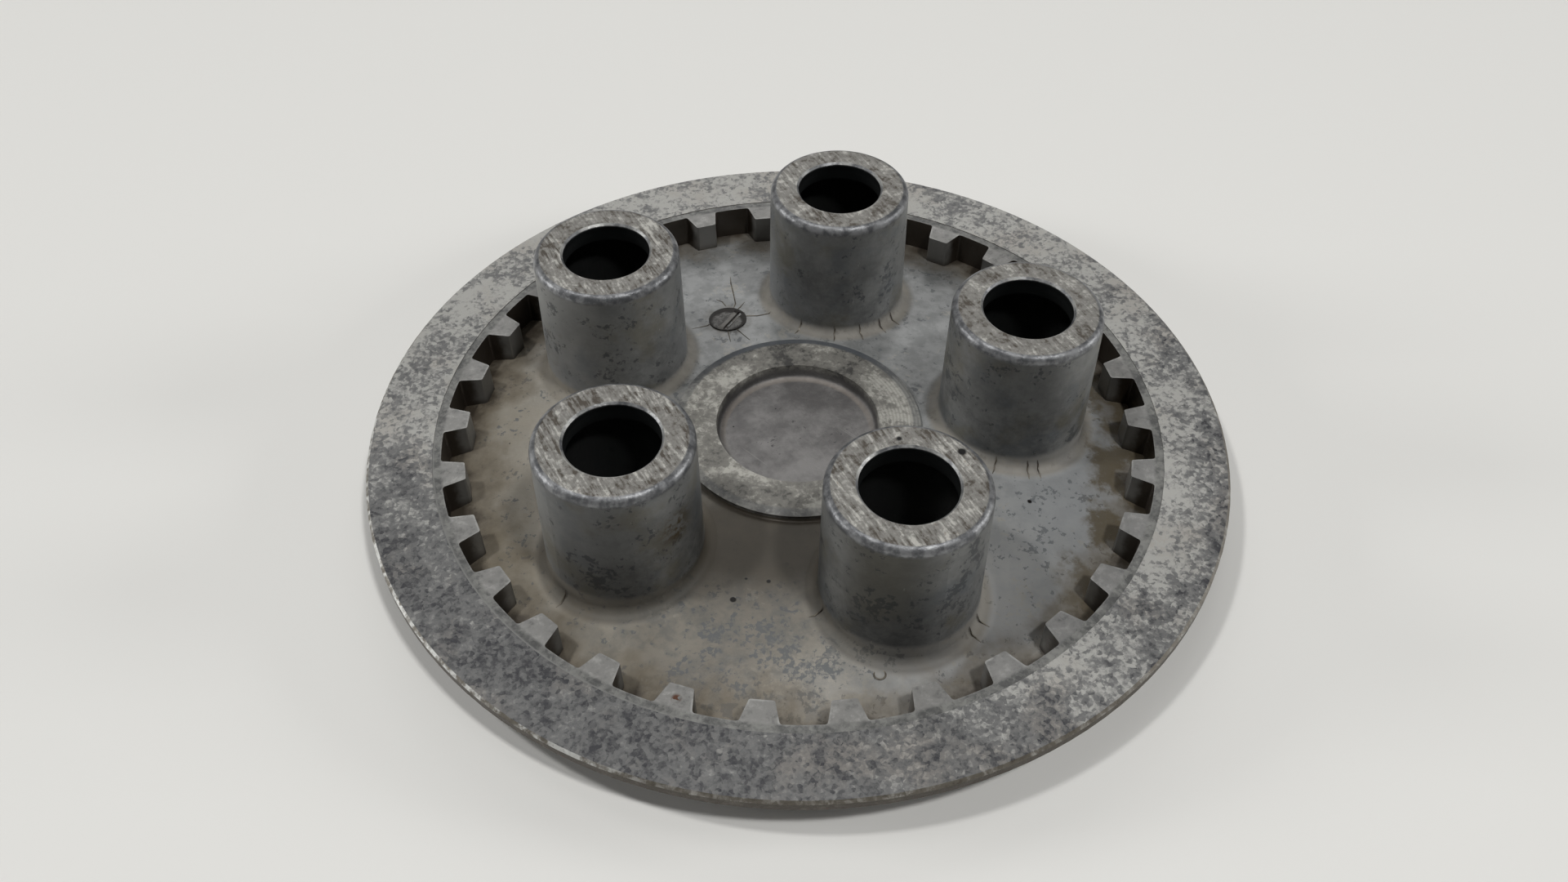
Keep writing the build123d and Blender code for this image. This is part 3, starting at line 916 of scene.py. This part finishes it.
def raise_vein(points, thickness):
    """One thin raised line through points on the casting: thin ends, thicker in the middle."""
    first, *others = [Vector(p) for p in points]
    heading = (others[0] - first).to_track_quat("Z", "Y").to_euler()
    vein = start_piece(
        bpy.ops.mesh.primitive_circle_add, vertices=6, radius=thickness * 0.3, fill_type="NGON",
        location=first, rotation=heading,
    )
    bpy.ops.object.mode_set(mode="EDIT")
    bpy.ops.mesh.select_all(action="SELECT")
    place = first
    for index, point in enumerate(others):
        size = 1.7 if index == 0 else 1.0
        size = 0.35 if index == len(others) - 1 else size
        bpy.ops.mesh.extrude_region_move(TRANSFORM_OT_translate={"value": point - place})
        bpy.ops.transform.resize(value=(size, size, size), center_override=point)
        place = point
    bpy.ops.object.mode_set(mode="OBJECT")
    return vein


def join_veins(veins, name, material):
    """Makes one piece of the raised lines that belong together."""
    bpy.ops.object.select_all(action="DESELECT")
    for vein in veins:
        vein.select_set(True)
    bpy.context.view_layer.objects.active = veins[0]
    bpy.ops.object.join()
    finish_piece(veins[0], name, material)


def foot_vein(axis, degrees):
    """One raised line that climbs over a tower's foot, swaying a little from side to side."""
    angle = math.radians(degrees)
    out = Vector((math.cos(angle), math.sin(angle), 0))
    side = Vector((-out.y, out.x, 0)) * FOOT_VEIN_SWAY
    line = []
    for reach, lift in FOOT_SECTION:
        side = -side
        place = axis + out * (TOWER_FOOT_R + reach) + side
        line.append((place.x, place.y, web_z(place.x, place.y) + lift))
    return raise_vein(line, FOOT_VEIN_THICKNESS)


def raise_crack_veins(material):
    """The veins round the stamp, and those that climb over the towers' feet."""
    around_stamp = []
    for points in STAMP_VEINS:
        places = [(x * MM, y * MM) for x, y in points]
        line = [(x, y, web_z(x, y) + STAMP_VEIN_LIFT) for x, y in places]
        around_stamp.append(raise_vein(line, STAMP_VEIN_THICKNESS))
    join_veins(around_stamp, "stamp_veins", material)
    for number in range(1, TOWER_COUNT + 1):
        angle = (number - 1) * TOWER_PITCH
        axis = Vector((TOWER_CIRCLE_R * math.cos(angle), TOWER_CIRCLE_R * math.sin(angle), 0))
        over_foot = [foot_vein(axis, degrees) for tower, degrees in FOOT_VEINS if tower == number]
        join_veins(over_foot, f"foot_veins_{number}", material)


def ring_mark(material):
    """The small raised ring that a pin in the die left in front of the front right tower."""
    x, y = RING_MARK
    piece = start_piece(
        bpy.ops.mesh.primitive_torus_add, major_radius=RING_MARK_R,
        minor_radius=RING_MARK_WIRE_R, major_segments=32, minor_segments=8,
        location=(x, y, web_z(x, y) - RING_MARK_SINK),
    )
    bpy.ops.object.mode_set(mode="EDIT")
    bpy.ops.mesh.select_all(action="SELECT")
    bpy.ops.transform.resize(value=(1.0, 0.94, 1.0), center_override=(x, y, 0))
    finish_piece(piece, "ring_mark", material)


def lay_floor():
    """A matt pale table top under the plate."""
    bpy.ops.object.select_all(action="DESELECT")
    bpy.ops.mesh.primitive_plane_add(size=FLOOR_SIZE, location=(0, 0, 0))
    floor = bpy.context.object
    floor.name = "floor"
    pale = bpy.data.materials.new("pale_floor")
    pale.use_nodes = True
    shader = pale.node_tree.nodes["Principled BSDF"]
    shader.inputs["Base Color"].default_value = FLOOR_TONE
    shader.inputs["Roughness"].default_value = FLOOR_ROUGHNESS
    shader.inputs["Specular IOR Level"].default_value = FLOOR_SHEEN
    floor.data.materials.append(pale)


def hang_lamp(name, place, size, share):
    """A square soft lamp that points at the plate and gives a share of the light on the floor."""
    reach = Vector(place)
    lamp = bpy.data.lights.new(name, "AREA")
    lamp.size = size
    lamp.energy = share * math.pi**2 * reach.length_squared * reach.length / reach.z
    body = bpy.data.objects.new(name, lamp)
    body.location = reach
    body.rotation_euler = (-reach).to_track_quat("-Z", "Y").to_euler()
    bpy.context.scene.collection.objects.link(body)


def even_sky(strength):
    """Weak even light from all round."""
    world = bpy.data.worlds.new("studio")
    bpy.context.scene.world = world
    world.use_nodes = True
    sky = world.node_tree.nodes["Background"]
    sky.inputs["Color"].default_value = (1.0, 1.0, 1.0, 1.0)
    sky.inputs["Strength"].default_value = strength


def light_studio():
    """Weak soft lamps behind and over the plate and at both sides, and two stronger ones above."""
    even_sky(SKY_STRENGTH)
    hang_lamp("back_softbox", place=(0.1, 1.2, 0.95), size=1.0, share=0.09)
    hang_lamp("overhead_softbox", place=(0.0, 0.2, 1.45), size=0.45, share=0.05)
    hang_lamp("left_window", place=(-2.84, 0.50, 0.84), size=0.8, share=0.095)
    hang_lamp("right_window", place=(2.84, -0.20, 0.88), size=0.8, share=0.095)
    hang_lamp("left_ceiling_lamp", place=(-0.654, -0.069, 1.348), size=0.12, share=0.25)
    hang_lamp("front_ceiling_lamp", place=(0.368, -0.550, 1.346), size=0.12, share=0.37)
    bpy.context.scene.view_settings.view_transform = "Standard"


def set_camera():
    """The photograph's camera, turned, tilted and rolled from looking straight down."""
    lens = bpy.data.cameras.new("camera")
    lens.lens = LENS_MM
    lens.sensor_width = SENSOR_MM
    lens.clip_start = NEAREST_SEEN
    camera = bpy.data.objects.new("camera", lens)
    turn = Matrix.Rotation(math.radians(CAMERA_TURN_DEG), 4, "Z")
    tilt = Matrix.Rotation(math.radians(CAMERA_TILT_DEG), 4, "X")
    roll = Matrix.Rotation(math.radians(CAMERA_ROLL_DEG), 4, "Z")
    camera.matrix_world = Matrix.Translation(CAMERA_PLACE) @ turn @ tilt @ roll
    bpy.context.scene.collection.objects.link(camera)
    bpy.context.scene.camera = camera


dress_nodes()
pocket_cover(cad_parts["web_plate"].data.materials[0])
stamp_plug(plug_finish())
veins = vein_finish()
raise_crack_veins(veins)
ring_mark(veins)
lay_floor()
light_studio()
set_camera()
